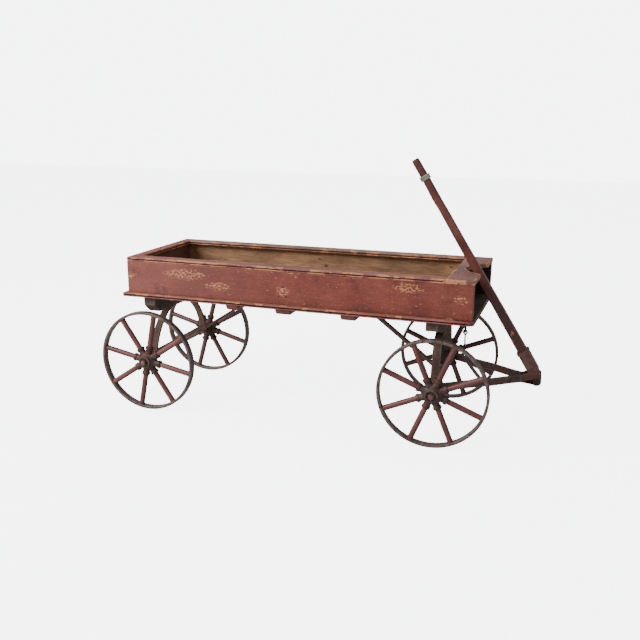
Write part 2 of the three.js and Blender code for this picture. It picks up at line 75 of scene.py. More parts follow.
# In metres from here on.
STUDIO_HALF = 9
SIDE_NAILS = ((0.497, 0.410), (0.486, 0.383), (0.508, 0.382))  # from the box's rear end, height
BOARD_END_NAIL_HEIGHTS = (0.374, 0.404, 0.436)
RAIL_NAILS = dict(first=0.03, step=0.128, count=8)
# Near-black colour for the front recess under the cap: painted shade, with some grime.
RECESS_SHADE = (0.010, 0.0065, 0.005)


# ---- Camera and light ------------------------------------------------------------------

def add_camera(place, azimuth, elevation, roll, lens):
    az, el, turn = radians(azimuth), radians(elevation), radians(roll)
    back = Vector((sin(az) * cos(el), -cos(az) * cos(el), sin(el)))
    right = Vector((cos(az), sin(az), 0))
    up = back.cross(right)
    level_right = cos(turn) * right + sin(turn) * up
    level_up = cos(turn) * up - sin(turn) * right
    data = bpy.data.cameras.new("camera")
    data.lens = lens
    data.sensor_width = 36
    camera = bpy.data.objects.new("camera", data)
    rotation = Matrix((level_right, level_up, back)).transposed().to_4x4()
    camera.matrix_world = Matrix.Translation(place) @ rotation
    bpy.context.scene.collection.objects.link(camera)
    bpy.context.scene.camera = camera


def add_area_light(name, place, target, size, power, colour):
    data = bpy.data.lights.new(name, "AREA")
    data.shape = "RECTANGLE"
    data.size, data.size_y = size
    data.energy = power
    data.color = colour
    light = bpy.data.objects.new(name, data)
    light.location = place
    direction = Vector(target) - Vector(place)
    light.rotation_euler = direction.to_track_quat("-Z", "Y").to_euler()
    bpy.context.scene.collection.objects.link(light)


def add_studio():
    world = bpy.data.worlds.new("soft_room")
    world.use_nodes = True
    tree = world.node_tree
    background = tree.nodes["Background"]
    background.inputs["Color"].default_value = (0.97, 0.985, 1, 1)
    shown = tree.nodes.new("ShaderNodeMapRange")
    shown.inputs["To Min"].default_value = 0.5
    shown.inputs["To Max"].default_value = 6.4
    path = tree.nodes.new("ShaderNodeLightPath")
    tree.links.new(path.outputs["Is Camera Ray"], shown.inputs["Value"])
    tree.links.new(shown.outputs["Result"], background.inputs["Strength"])
    bpy.context.scene.world = world
    add_area_light("window", (-2.6, -2.4, 2.7), (0, 0, 0.25), (2.2, 1.9), 225, (1, 0.985, 0.965))
    add_area_light("ceiling", (0.2, 0.4, 3.2), (0, 0, 0), (3, 3), 26, (1, 1, 1))
    mesh = bpy.data.meshes.new("studio_floor")
    corners = [(x * STUDIO_HALF, y * STUDIO_HALF, 0) for x, y in ((-1, -1), (1, -1), (1, 1), (-1, 1))]
    mesh.from_pydata(corners, [], [(0, 1, 2, 3)])
    floor = bpy.data.objects.new("studio_floor", mesh)
    bpy.context.scene.collection.objects.link(floor)
    floor.data.materials.append(floor_material())


# ---- Material building blocks ----------------------------------------------------------

class Shader:
    """A principled material with short calls for the nodes used here."""

    def __init__(self, name):
        self.material = bpy.data.materials.new(name)
        self.material.use_nodes = True
        self.tree = self.material.node_tree
        self.bsdf = self.tree.nodes["Principled BSDF"]
        self.place = self.add("ShaderNodeTexCoord").outputs["Object"]

    def add(self, kind, **settings):
        node = self.tree.nodes.new(kind)
        for key, value in settings.items():
            setattr(node, key, value)
        return node

    def link(self, source, target):
        if isinstance(source, (int, float)):
            target.default_value = source
        elif isinstance(source, tuple):
            target.default_value = (*source, 1) if len(source) == 3 else source
        else:
            self.tree.links.new(source, target)

    def stretch(self, scale, shift=(0, 0, 0)):
        node = self.add("ShaderNodeMapping")
        node.inputs["Scale"].default_value = scale
        node.inputs["Location"].default_value = shift
        self.link(self.place, node.inputs["Vector"])
        return node.outputs["Vector"]

    def noise(self, scale, detail=5, rough=0.55, vector=None, distortion=0.0):
        node = self.add("ShaderNodeTexNoise")
        self.link(vector if vector is not None else self.place, node.inputs["Vector"])
        node.inputs["Scale"].default_value = scale
        node.inputs["Detail"].default_value = detail
        node.inputs["Roughness"].default_value = rough
        node.inputs["Distortion"].default_value = distortion
        return node.outputs["Fac"]

    def ramp(self, value, *stops):
        node = self.add("ShaderNodeValToRGB")
        elements = node.color_ramp.elements
        while len(elements) < len(stops):
            elements.new(0.5)
        for element, (position, colour) in zip(elements, stops):
            element.position = position
            element.color = (*colour, 1) if isinstance(colour, tuple) else (colour, colour, colour, 1)
        self.link(value, node.inputs["Fac"])
        return node.outputs["Color"]

    def span(self, value, low, high, start=0.0, end=1.0):
        node = self.add("ShaderNodeMapRange")
        node.interpolation_type = "SMOOTHSTEP"
        self.link(value, node.inputs["Value"])
        for key, number in (("From Min", low), ("From Max", high), ("To Min", start), ("To Max", end)):
            node.inputs[key].default_value = number
        return node.outputs["Result"]

    def math(self, operation, a, b=0.0, clamp=False):
        node = self.add("ShaderNodeMath", operation=operation, use_clamp=clamp)
        self.link(a, node.inputs[0])
        self.link(b, node.inputs[1])
        return node.outputs[0]

    def mix(self, factor, a, b, blend="MIX"):
        node = self.add("ShaderNodeMix", data_type="RGBA", blend_type=blend)
        self.link(factor, node.inputs[0])
        self.link(a, node.inputs[6])
        self.link(b, node.inputs[7])
        return node.outputs[2]

    def spot(self, x, y, z, reach_x, reach_y, reach_z):
        """0 at a place, 1 on an ellipsoid about it and more outside."""
        node = self.add("ShaderNodeVectorMath", operation="LENGTH")
        scale = (1 / reach_x, 1 / reach_y, 1 / reach_z)
        self.link(self.stretch(scale, (-x / reach_x, -y / reach_y, -z / reach_z)), node.inputs[0])
        return node.outputs["Value"]

    def along_x(self):
        node = self.add("ShaderNodeSeparateXYZ")
        self.link(self.place, node.inputs[0])
        return node.outputs["X"]

    def darken_in_recess(self, colour, start_x):
        """The colour, darkened to near black past a place along X: painted shade of the front recess, with
        some grime.
        """
        if start_x is None:
            return colour
        recess_shade_amount = self.span(self.along_x(), start_x, start_x + 0.012, 0.0, 0.94)
        return self.mix(recess_shade_amount, colour, RECESS_SHADE)

    def wear(self):
        node = self.add("ShaderNodeAttribute", attribute_name="wear")
        return node.outputs["Fac"]

    def finish(self, colour, rough, height, bump=0.3, depth=0.0006, metallic=0.0, coat=0.0):
        self.link(colour, self.bsdf.inputs["Base Color"])
        self.link(rough, self.bsdf.inputs["Roughness"])
        self.bsdf.inputs["Metallic"].default_value = metallic
        self.bsdf.inputs["Coat Weight"].default_value = coat
        self.bsdf.inputs["Coat Roughness"].default_value = 0.35
        node = self.add("ShaderNodeBump")
        node.inputs["Strength"].default_value = bump
        node.inputs["Distance"].default_value = depth
        self.link(height, node.inputs["Height"])
        self.link(node.outputs["Normal"], self.bsdf.inputs["Normal"])
        return self.material


def floor_material():
    shader = Shader("studio_floor")
    tone = shader.ramp(shader.noise(1.3, 3), (0.3, (0.56, 0.56, 0.565)), (0.7, (0.60, 0.60, 0.60)))
    path = shader.add("ShaderNodeLightPath")
    glow = shader.math("MULTIPLY", path.outputs["Is Camera Ray"], 5.4)
    shader.link((0.97, 0.985, 1.0), shader.bsdf.inputs["Emission Color"])
    shader.link(glow, shader.bsdf.inputs["Emission Strength"])
    return shader.finish(tone, 0.6, shader.noise(9, 3), bump=0.04)


# Grain runs along one axis: the other two are squeezed so that the noise turns to streaks.
def grain_scale(axis, ratio=14):
    return tuple(1 if index == axis else ratio for index in range(3))


def aged_paint(name, paint, timber, axis=0, edge=0.5, scuff=0.55, seed=0.0, scuffs=(), rough=0.55, coat=0.0,
               fleck=0.64, fade=None, recess_shade_from=None):
    """Old paint over timber: bare on its edges, flaked in specks, faded along X, dusty and stained."""
    shader = Shader(name)
    shift = (seed, seed * 1.7, seed * 0.6)
    grain = shader.noise(24, 7, 0.62, shader.stretch(grain_scale(axis), shift), 0.6)
    streak = shader.noise(46, 6, 0.7, shader.stretch(grain_scale(axis, 7), shift), 0.2)
    patch = shader.noise(19, 4, 0.6, shader.stretch(grain_scale(axis, 2.2), shift))
    blotch = shader.noise(7, 5, 0.6, shader.stretch((1, 1, 1), shift))
    speckle = shader.noise(260, 3, 0.6)
    cover = shader.ramp(blotch, (0.32, paint[0]), (0.5, paint[1]), (0.7, paint[2]))
    cover = shader.mix(0.6, cover, shader.ramp(grain, (0.34, 0.5), (0.58, 1.0)), "MULTIPLY")
    cover = shader.mix(0.35, cover, shader.ramp(speckle, (0.36, 0.5), (0.58, 1.0)), "MULTIPLY")
    if fade:
        start_x, end_x, faded = fade
        cover = shader.mix(shader.span(shader.along_x(), start_x, end_x, 0.0, 0.55), cover, faded)
    stains = shader.noise(14, 6, 0.7, shader.stretch((1, 1, 1), (3 + seed, 1, 2)))
    dirt = shader.span(stains, 0.55, 0.72, 0, 0.55)
    cover = shader.mix(dirt, cover, tuple(0.3 * c for c in paint[0]))
    bare = shader.ramp(grain, (0.3, timber[0]), (0.52, timber[1]), (0.75, timber[2]))
    start = 0.66 - 0.28 * edge
    worn = shader.math("MULTIPLY", shader.wear(), shader.span(patch, start, start + 0.1))
    worn = shader.math("MULTIPLY", worn, shader.span(streak, 0.4, 0.6, 0.35, 1.0))
    loose = shader.span(shader.noise(4.2, 4, 0.6, shader.stretch((1, 1, 1), (seed * 3, 2, 5))), 0.58, 0.75)
    for x, y, z, reach_x, reach_z, strength in scuffs:
        near = shader.span(shader.spot(x, y, z, reach_x, 0.05, reach_z), 0.2, 1.2, strength, 0.0)
        loose = shader.math("MAXIMUM", loose, near)
    flakes = shader.noise(120, 5, 0.72, shader.stretch(grain_scale(axis, 1.8), shift), 0.3)
    scratched = shader.math("MULTIPLY", loose, shader.span(flakes, 0.48, 0.56))
    scratched = shader.math("MAXIMUM", scratched, shader.span(flakes, fleck, fleck + 0.04, 0.0, 0.8))
    scratched = shader.math("MULTIPLY", scratched, scuff)
    mask = shader.span(shader.math("MAXIMUM", worn, scratched), 0.15, 0.6)
    colour = shader.darken_in_recess(shader.mix(mask, cover, bare), recess_shade_from)
    roughness = shader.span(shader.math("ADD", blotch, mask), 0.3, 1.4, rough - 0.08, 0.85)
    height = shader.math("ADD", shader.math("MULTIPLY", grain, 0.7), shader.math("MULTIPLY", mask, -0.5))
    height = shader.math("ADD", height, shader.math("MULTIPLY", speckle, 0.25))
    return shader.finish(colour, roughness, height, bump=0.4, depth=0.0007, coat=coat)


def old_timber(name, tones, axis=0, seed=0.0, stain=0.6, rough=0.8, knots=(), recess_shade_from=None):
    """Unpainted timber: streaky grain, stains, paler edges and a few dark knots."""
    shader = Shader(name)
    shift = (seed, seed * 1.3, seed * 0.7)
    grain = shader.noise(26, 8, 0.65, shader.stretch(grain_scale(axis), shift), 0.9)
    board = shader.noise(9, 4, 0.55, shader.stretch(grain_scale(axis, 5), shift), 0.4)
    blotch = shader.noise(6, 6, 0.65, shader.stretch((1, 1, 1), shift))
    colour = shader.ramp(grain, (0.28, tones[0]), (0.5, tones[1]), (0.74, tones[2]))
    colour = shader.mix(0.6, colour, shader.ramp(board, (0.35, 0.5), (0.62, 1.0)), "MULTIPLY")
    colour = shader.mix(stain, colour, shader.ramp(blotch, (0.34, 0.3), (0.58, 1.0)), "MULTIPLY")
    ragged = shader.math("MULTIPLY", shader.math("SUBTRACT", shader.noise(110, 4, 0.7), 0.5), 1.6)
    for x, y, z, radius in knots:
        reach = shader.math("ADD", shader.spot(x, y, z, radius * 1.5, 0.04, radius * 0.8), ragged)
        ring = shader.span(reach, 0.4, 1.2, 0.85, 0.0)
        colour = shader.mix(ring, colour, (0.045, 0.022, 0.012))
    pale = shader.math("MULTIPLY", shader.wear(), 0.35)
    colour = shader.darken_in_recess(shader.mix(pale, colour, tones[2]), recess_shade_from)
    height = shader.math("ADD", grain, shader.math("MULTIPLY", board, 0.6))
    roughness = shader.span(grain, 0.2, 0.8, rough - 0.1, rough + 0.1)
    return shader.finish(colour, roughness, height, bump=0.5, depth=0.0009)


def old_iron(name, tones, paint=None, cover=0.5, rough=0.6, metallic=0.35, seed=0.0):
    """Worked iron: brown scale with pits, rubbed paler on the edges, and paint left in the hollows."""
    shader = Shader(name)
    shift = (seed, seed * 2.1, seed * 0.4)
    scale_noise = shader.noise(70, 6, 0.65, shader.stretch((1, 1, 1), shift))
    blotch = shader.noise(20, 4, 0.6, shader.stretch((1, 1, 1), shift))
    pits = shader.noise(420, 3, 0.5)
    colour = shader.ramp(scale_noise, (0.3, tones[0]), (0.5, tones[1]), (0.72, tones[2]))
    if paint:
        layer = shader.mix(0.5, paint, shader.ramp(scale_noise, (0.3, 0.5), (0.6, 1.0)), "MULTIPLY")
        left = shader.span(blotch, 0.62 - 0.35 * cover, 0.72 - 0.35 * cover)
        colour = shader.mix(left, colour, layer)
    rubbed = shader.math("MULTIPLY", shader.wear(), shader.span(scale_noise, 0.35, 0.65, 0.15, 0.75))
    colour = shader.mix(rubbed, colour, tones[3])
    height = shader.math("ADD", scale_noise, shader.math("MULTIPLY", pits, 0.5))
    roughness = shader.span(scale_noise, 0.25, 0.75, rough - 0.12, rough + 0.15)
    return shader.finish(colour, roughness, height, bump=0.45, depth=0.0006, metallic=metallic)


# ---- Mesh building blocks ---------------------------------------------------------------

def make_object(name, bm, material, body, smooth=40):
    bmesh.ops.recalc_face_normals(bm, faces=bm.faces)
    for face in bm.faces:
        face.smooth = True
    mesh = bpy.data.meshes.new(name)
    bm.to_mesh(mesh)
    bm.free()
    mesh.set_sharp_from_angle(angle=radians(smooth))
    piece = bpy.data.objects.new(name, mesh)
    bpy.context.scene.collection.objects.link(piece)
    for each in material if isinstance(material, (list, tuple)) else [material]:
        mesh.materials.append(each)
    even = piece.modifiers.new("even_normals", "WEIGHTED_NORMAL")
    even.keep_sharp = True
    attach(piece, body)
    return piece


def face_width(face):
    return 2 * face.calc_area() / max(face.calc_perimeter(), 1e-9)


def rounded_mesh(source, bevel, border, sharp):
    """The mesh with rounded arrises, and a wear value of 1 on them and 0 inside the faces."""
    bm = bmesh.new()
    bm.from_mesh(source)
    bmesh.ops.remove_doubles(bm, verts=bm.verts, dist=2e-5)
    bmesh.ops.dissolve_limit(bm, angle_limit=radians(0.8), verts=bm.verts, edges=bm.edges)
    arris = [e for e in bm.edges if len(e.link_faces) == 2 and e.calc_face_angle() > radians(sharp)]
    rounded = bmesh.ops.bevel(
        bm, geom=arris, offset=bevel * MM, segments=3, profile=0.6, affect="EDGES", clamp_overlap=True)
    on_arris = set(rounded["faces"])
    layer = bm.verts.layers.float.new("wear")
    for vert in bm.verts:
        vert[layer] = 1
    if border:
        flats = [f for f in bm.faces if f not in on_arris and face_width(f) > 1.2 * border * MM]
        bmesh.ops.inset_region(
            bm, faces=flats, thickness=border * MM, use_boundary=True, use_even_offset=True)
        for vert in {v for f in flats for v in f.verts}:
            vert[layer] = 0
    return bm


def stays_inside(bm, source):
    """True if no vertex has left the box of the source mesh."""
    for axis in range(3):
        values = [v.co[axis] for v in source.vertices]
        low, high = min(values) - MM, max(values) + MM
        if any(not low <= v.co[axis] <= high for v in bm.verts):
            return False
    return True


def worn_copy(node, material, body, bevel=1.4, border=6, inner=None, sharp=28):
    """The CAD node again with rounded, worn arrises."""
    source = NODES[node].data
    bm = rounded_mesh(source, bevel, border, sharp)
    if not stays_inside(bm, source):
        bm.free()
        bm = rounded_mesh(source, bevel, 0, sharp)
    if inner:
        for face in bm.faces:
            face.material_index = int(inner(face))
    piece = make_object(f"{node}_piece", bm, material, body)
    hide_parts(node)
    return piece


def lathe(bm, profile, frame_matrix, segments=48, closed=True, wear=None):
    """Turns (radius, along) points about the frame's Y axis. A closed profile makes a ring."""
    layer = bm.verts.layers.float.get("wear") or bm.verts.layers.float.new("wear")
    rings = []
    for index in range(segments):
        angle = 2 * pi * index / segments
        ring = []
        for number, (radius, along) in enumerate(profile):
            local = Vector((radius * cos(angle), along, radius * sin(angle))) * MM
            vert = bm.verts.new(frame_matrix @ local)
            vert[layer] = wear[number] if wear else 0
            ring.append(vert)
        rings.append(ring)
    count = len(profile)
    for index in range(segments):
        here, after = rings[index], rings[(index + 1) % segments]
        for number in range(count if closed else count - 1):
            following = (number + 1) % count
            bm.faces.new((here[number], after[number], after[following], here[following]))
    if not closed:
        bm.faces.new([ring[0] for ring in rings])
        bm.faces.new([ring[-1] for ring in reversed(rings)])


def loft(bm, rings, wears):
    """Skins rings of points with a face at each end."""
    layer = bm.verts.layers.float.get("wear") or bm.verts.layers.float.new("wear")
    made = []
    for ring, wear in zip(rings, wears):
        verts = [bm.verts.new(p) for p in ring]
        for vert, value in zip(verts, wear):
            vert[layer] = value
        made.append(verts)
    count = len(made[0])
    for here, after in zip(made, made[1:]):
        for i in range(count):
            j = (i + 1) % count
            bm.faces.new((here[i], here[j], after[j], after[i]))
    bm.faces.new(list(reversed(made[0])))
    bm.faces.new(made[-1])


def rounded_square(half_x, half_y, radius, steps=4):
    points = []
    for corner in range(4):
        start = corner * pi / 2
        sx = 1 if corner in (0, 3) else -1
        sy = 1 if corner in (0, 1) else -1
        for step in range(steps + 1):
            angle = start + step * pi / 2 / steps
            x = sx * (half_x - radius) + radius * cos(angle)
            y = sy * (half_y - radius) + radius * sin(angle)
            points.append((x, y, 1.0 if 0 < step < steps else 0.7))
    return points


def placed(origin, x_axis, y_axis, z_axis):
    rotation = Matrix((x_axis, y_axis, z_axis)).transposed().to_4x4()
    return Matrix.Translation(origin) @ rotation


# ---- Finishes -------------------------------------------------------------------------

RED = [(0.115, 0.020, 0.012), (0.195, 0.034, 0.021), (0.27, 0.060, 0.040)]
FADED_RED = (0.26, 0.082, 0.064)
RAIL_RED = [(0.17, 0.046, 0.034), (0.26, 0.074, 0.057), (0.35, 0.125, 0.10)]
FAR_RAIL = [(0.16, 0.075, 0.052), (0.25, 0.125, 0.088), (0.35, 0.20, 0.15)]
CAP_TONES = [(0.13, 0.048, 0.038), (0.21, 0.083, 0.066), (0.30, 0.14, 0.115)]
TAN = [(0.34, 0.12, 0.055), (0.55, 0.235, 0.115), (0.72, 0.36, 0.2)]
BARE = [(0.16, 0.075, 0.036), (0.34, 0.178, 0.090), (0.50, 0.30, 0.17)]
INNER_RED = [(0.065, 0.022, 0.013), (0.15, 0.058, 0.034), (0.25, 0.12, 0.07)]
DARK = [(0.034, 0.020, 0.015), (0.092, 0.056, 0.043), (0.165, 0.108, 0.085)]
LEG = [(0.06, 0.033, 0.022), (0.155, 0.092, 0.063), (0.27, 0.175, 0.125)]
IRON = [(0.028, 0.015, 0.013), (0.075, 0.042, 0.037), (0.13, 0.085, 0.078), (0.22, 0.16, 0.15)]
TYRE_TONES = [(0.026, 0.014, 0.012), (0.068, 0.040, 0.035), (0.12, 0.078, 0.070), (0.19, 0.135, 0.122)]
FERRULE_TONES = [(0.10, 0.08, 0.06), (0.2, 0.17, 0.13), (0.3, 0.26, 0.2), (0.4, 0.36, 0.3)]
NAIL_TONES = [(0.006, 0.005, 0.004), (0.014, 0.010, 0.008), (0.03, 0.022, 0.018), (0.06, 0.045, 0.04)]
SPOKE_RED = [(0.095, 0.024, 0.021), (0.155, 0.043, 0.038), (0.22, 0.080, 0.072)]
# A duskier, purpler red for the far wheels' spokes than for the near ones: painted shade, as those wheels
# stand in the bed's shadow.
FAR_SHADED_RED = [(0.075, 0.026, 0.026), (0.14, 0.052, 0.050), (0.22, 0.10, 0.096)]
HANDLE_RED = [(0.052, 0.010, 0.006), (0.118, 0.024, 0.015), (0.20, 0.056, 0.040)]
HUB_TONES = [(0.020, 0.011, 0.009), (0.055, 0.030, 0.025), (0.095, 0.060, 0.052), (0.16, 0.11, 0.098)]
SOCKET_TONES = [(0.035, 0.014, 0.011), (0.085, 0.035, 0.028), (0.14, 0.07, 0.058), (0.22, 0.13, 0.115)]
HOUND_TONES = [(0.03, 0.018, 0.014), (0.085, 0.050, 0.041), (0.14, 0.092, 0.078), (0.24, 0.165, 0.14)]

side_low, side_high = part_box("side_board_right")
REAR, OUTSIDE = side_low[0], -side_low[1]
INSIDE = -side_high[1]

# Scuffed places on the right side board: along, face, height, half length, half height, strength.
SCUFFS = [
    (REAR + 0.855, -OUTSIDE, 0.434, 0.055, 0.017, 1.0),
    (REAR + 0.995, -OUTSIDE, 0.412, 0.026, 0.016, 0.9),
    (REAR + 0.194, -OUTSIDE, 0.424, 0.090, 0.020, 1.0),
    (REAR + 0.295, -OUTSIDE, 0.396, 0.055, 0.018, 0.8),
    (REAR + 0.014, -OUTSIDE, 0.408, 0.018, 0.014, 0.8),
    (REAR + 0.497, -OUTSIDE, 0.396, 0.030, 0.026, 0.7),
]
# Knots on the left board's inner face.
KNOTS = [
    (REAR + 0.486, INSIDE, 0.428, 0.0045),
    (REAR + 0.510, INSIDE, 0.408, 0.0055),
    (REAR + 0.908, INSIDE, 0.430, 0.004),
]
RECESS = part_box("front_board")[1][0] - 2 * MM
FRONT_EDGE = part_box("floor_board_centre")[1][0]

fading = (REAR + 0.62, REAR + 0.02, FADED_RED)
side_paint = aged_paint(
    "side_paint", RED, TAN, edge=0.3, scuffs=SCUFFS, scuff=0.9, seed=1.3, fleck=0.62, fade=fading)
rail_paint = aged_paint("rail_paint", RAIL_RED, TAN, edge=0.75, scuff=0.6, seed=4.1)
far_rail = aged_paint("far_rail_paint", FAR_RAIL, TAN, edge=0.6, scuff=0.5, seed=5.2)
rail_across = aged_paint("rail_paint_across", RAIL_RED, TAN, axis=1, edge=0.6, scuff=0.4, seed=6.4)
ledge_paint = aged_paint("ledge_paint", RAIL_RED, TAN, edge=0.5, scuff=0.5, seed=8.8)
# The floor boards' front ends face away from the window; their darker red is painted shade.
ledge_end_shade = aged_paint("ledge_end_paint", INNER_RED, TAN, axis=1, edge=0.3, scuff=0.4, seed=2.8)
cap_paint = aged_paint("cap_paint", CAP_TONES, TAN, axis=1, edge=0.7, scuff=0.5, seed=2.2)
cleat_paint = aged_paint("cleat_paint", RAIL_RED, DARK, axis=1, edge=0.3, scuff=0.8, seed=3.7)
# Past the recess line these two timbers turn near black: painted shade of the front recess, with some grime.
bare_timber = old_timber("bare_timber", BARE, seed=0.9, knots=KNOTS, recess_shade_from=RECESS)
front_timber = old_timber("front_timber", BARE, axis=1, seed=5.9, recess_shade_from=RECESS - 0.012)
inner_red = old_timber("inner_red", INNER_RED, axis=1, seed=6.6)
dark_timber = old_timber("dark_timber", DARK, axis=1, seed=7.3)
leg_timber = old_timber("leg_timber", LEG, axis=2, seed=3.1, stain=0.5)
iron = old_iron("old_iron", IRON, paint=(0.16, 0.045, 0.036), cover=0.6)
hub_iron = old_iron("hub_iron", HUB_TONES, paint=(0.085, 0.030, 0.026), cover=0.6, seed=2.5)
tyre_iron = old_iron("tyre_iron", TYRE_TONES, rough=0.5, metallic=0.3, seed=5.5)
socket_iron = old_iron(
    "socket_iron", SOCKET_TONES, paint=(0.12, 0.026, 0.017), cover=0.9, metallic=0.15, seed=3.4)
hound_iron = old_iron("hound_iron", HOUND_TONES, paint=(0.13, 0.045, 0.034), cover=0.35, seed=6.1)
ferrule_iron = old_iron("ferrule_iron", FERRULE_TONES, seed=1.1)
nail_iron = old_iron("nail_iron", NAIL_TONES, seed=4.4)
spoke_paint = aged_paint("spoke_paint", SPOKE_RED, IRON[:3], axis=2, edge=0.5, scuff=0.6, seed=1.9)
# Spoke paint for the far wheels: a shaded copy of the near wheels' paint, painted shade.
far_shaded_paint = aged_paint("far_spoke_shaded_paint", FAR_SHADED_RED, IRON[:3], axis=2, edge=0.5, scuff=0.6, seed=7.9)
handle_paint = aged_paint(
    "handle_paint", HANDLE_RED, TAN, axis=2, edge=0.3, scuff=0.4, seed=9.4, rough=0.5, coat=0.12)

# ---- Box bed --------------------------------------------------------------------------


def facing(axis, sign):
    """A test for the faces that look along one axis."""
    return lambda face: sign * face.normal[axis] > 0.9


def floor_finish(face):
    """1 on the bare top inside the box, 2 on the front ends, which take a darker red as painted shade, 0 on
    the painted ledges.
    """
    middle = face.calc_center_median()
    if middle.x > FRONT_EDGE - 0.004:
        return 2
    return 1 if face.normal.z > 0.9 and abs(middle.y) < OUTSIDE - 0.02 else 0


def add_box():
    for side, sign in (("left", 1), ("right", -1)):
        finishes = [side_paint, bare_timber]
        worn_copy(f"side_board_{side}", finishes, "bed", inner=facing(1, -sign))
        rail_finish = far_rail if sign > 0 else rail_paint
        worn_copy(f"side_rail_{side}", rail_finish, "bed", bevel=2.2, border=5)
    worn_copy("rear_board", [side_paint, inner_red], "bed", inner=facing(0, 1))
    worn_copy("front_board", front_timber, "bed")
    worn_copy("rear_rail", rail_across, "bed", bevel=2.0, border=5)
    worn_copy("front_cap", cap_paint, "bed", bevel=2.6, border=6)
    for name in ("left", "centre", "right"):
        finishes = [ledge_paint, bare_timber, ledge_end_shade]
        node = f"floor_board_{name}"
        worn_copy(node, finishes, "bed", bevel=2.4, border=5, inner=floor_finish)
    for number in (1, 2, 3):
        worn_copy(f"cleat_{number}", cleat_paint, "bed", bevel=1.6)


def add_running_timber():
    for end, body in (("rear", "bed"), ("front", "front_gear")):
        worn_copy(f"{end}_bolster", dark_timber, "bed", bevel=2.2)
        worn_copy(f"{end}_arch", leg_timber, body, bevel=1.6, border=4)
        worn_copy(f"{end}_axle_beam", dark_timber, body, bevel=2.0, border=4)
        worn_copy(f"{end}_brace", iron, "bed", bevel=1.0, border=0)


def add_front_iron():
    for node in ("hound_left", "hound_right", "hound_brace"):
        worn_copy(node, hound_iron, "front_gear", bevel=1.2, border=3.5)
    for node in ("turn_plate", "pivot_bolt", "pivot_nut"):
        worn_copy(node, nail_iron, "front_gear", bevel=0.8, border=2)
    for node in ("king_bolt", "king_nut"):
        worn_copy(node, nail_iron, "bed", bevel=0.8, border=2)
    worn_copy("handle_socket", socket_iron, "handle", bevel=1.8, border=3)
    worn_copy("handle_ferrule", ferrule_iron, "handle", bevel=1.2, border=2)


# ---- Handle ---------------------------------------------------------------------------

def handle_frame():
    joint = JOINTS["handle_swing"]
    across = Vector(joint["axis"]).normalized()
    forward = across.cross(UP)
    lean = radians(HANDLE_LEAN)
    along = -sin(lean) * forward + cos(lean) * UP
    ahead = cos(lean) * forward + sin(lean) * UP
    return placed(Vector(joint["pos_m"]), ahead, across, along)


def add_handle():
    bm = bmesh.new()
    matrix = handle_frame()
    rings, wears = [], []
    steps = 110
    span = HANDLE["length"] - HANDLE["foot"]
    for step in range(steps + 1):
        t = step / steps
        along = HANDLE["foot"] + t * span
        half = HANDLE["base"] + (HANDLE["grip"] - HANDLE["base"]) * t
        radius = 2.2 + 2.6 * t
        ends = min(step, steps - step)
        shrink = 1.0 - HANDLE_END_INSET[ends] / half if ends < 2 else 1.0
        bulge = HANDLE["swell"] * max(0.0, 1 - abs(along - HANDLE["swell_at"]) / HANDLE["swell_reach"])
        ring, wear = [], []
        for x, y, value in rounded_square(half, half * 1.01, radius):
            grit = noise.noise(Vector((x * 0.05, y * 0.05, along * 0.02))) * 0.5
            reach = 1 + grit / half * 0.6
            px = x * shrink * reach - (bulge if x < 0 else 0)
            ring.append(matrix @ (Vector((HANDLE["offset"] + px, y * shrink * reach, along)) * MM))
            wear.append(value if ends > 1 else 1.0)
        rings.append(ring)
        wears.append(wear)
    loft(bm, rings, wears)
    piece = make_object("handle_bar_piece", bm, handle_paint, "handle")
    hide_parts("handle_bar")


# ---- Wheels ---------------------------------------------------------------------------

def wheel_frame(name):
    """Origin at the hub's middle, Y outboard along the spindle, Z up."""
    joint = JOINTS[f"{name}_spin"]
    side = 1 if "left" in name else -1
    outboard = side * Vector(joint["axis"]).normalized()
    return placed(Vector(joint["pos_m"]), outboard.cross(UP), outboard, UP), side


def tyre_profile():
    outer, half, corner = TYRE["radius"], TYRE["width"] / 2, TYRE["corner"]
    inner = outer - TYRE["thickness"]
    points, wear = [], []
    corners = [(inner, -half, pi), (outer, -half, 1.5 * pi), (outer, half, 0), (inner, half, pi / 2)]
    for radius, along, start in corners:
        centre_r = radius + (corner if radius == inner else -corner)
        centre_y = along + (corner if along < 0 else -corner)
        for step in range(4):
            angle = start + step * pi / 6
            points.append((centre_r + corner * cos(angle), centre_y + corner * sin(angle)))
            wear.append(1.0)
        if radius == outer and along < 0:
            points.append((outer - 0.15, 0))
            wear.append(0.4)
    return points, wear


def add_tyre(name, matrix, body):
    bm = bmesh.new()
    points, wear = tyre_profile()
    lathe(bm, points, matrix, 128, True, wear)
    piece = make_object(f"{name}_tyre_piece", bm, tyre_iron, body)
    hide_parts(f"{name}_tyre")


def hub_profile():
    tail, nose, bore, drum, ring = -HUB["tail"], HUB["nose"], HUB["bore"], HUB["drum"], HUB["ring"]
    return [
        (bore, tail), (17.6, tail), (18.8, tail + 0.9), (19.4, tail + 3), (19.8, tail + 6),
        (22.5, tail + 8.5), (drum - 1, -9.6), (drum, -8), (drum, 8), (drum - 1, 9.6),
        (21.5, 11.6), (ring + 0.4, 13.4), (ring - 1.2, 15.2), (ring - 1.5, 18.2), (ring - 0.2, 19.2),
        (ring, 20), (ring, 21.9), (ring - 1, nose), (ring - 4.4, nose), (ring - 5.2, nose - 1),
        (ring - 5.6, nose - 2.6), (bore, nose - 2.6),
    ]


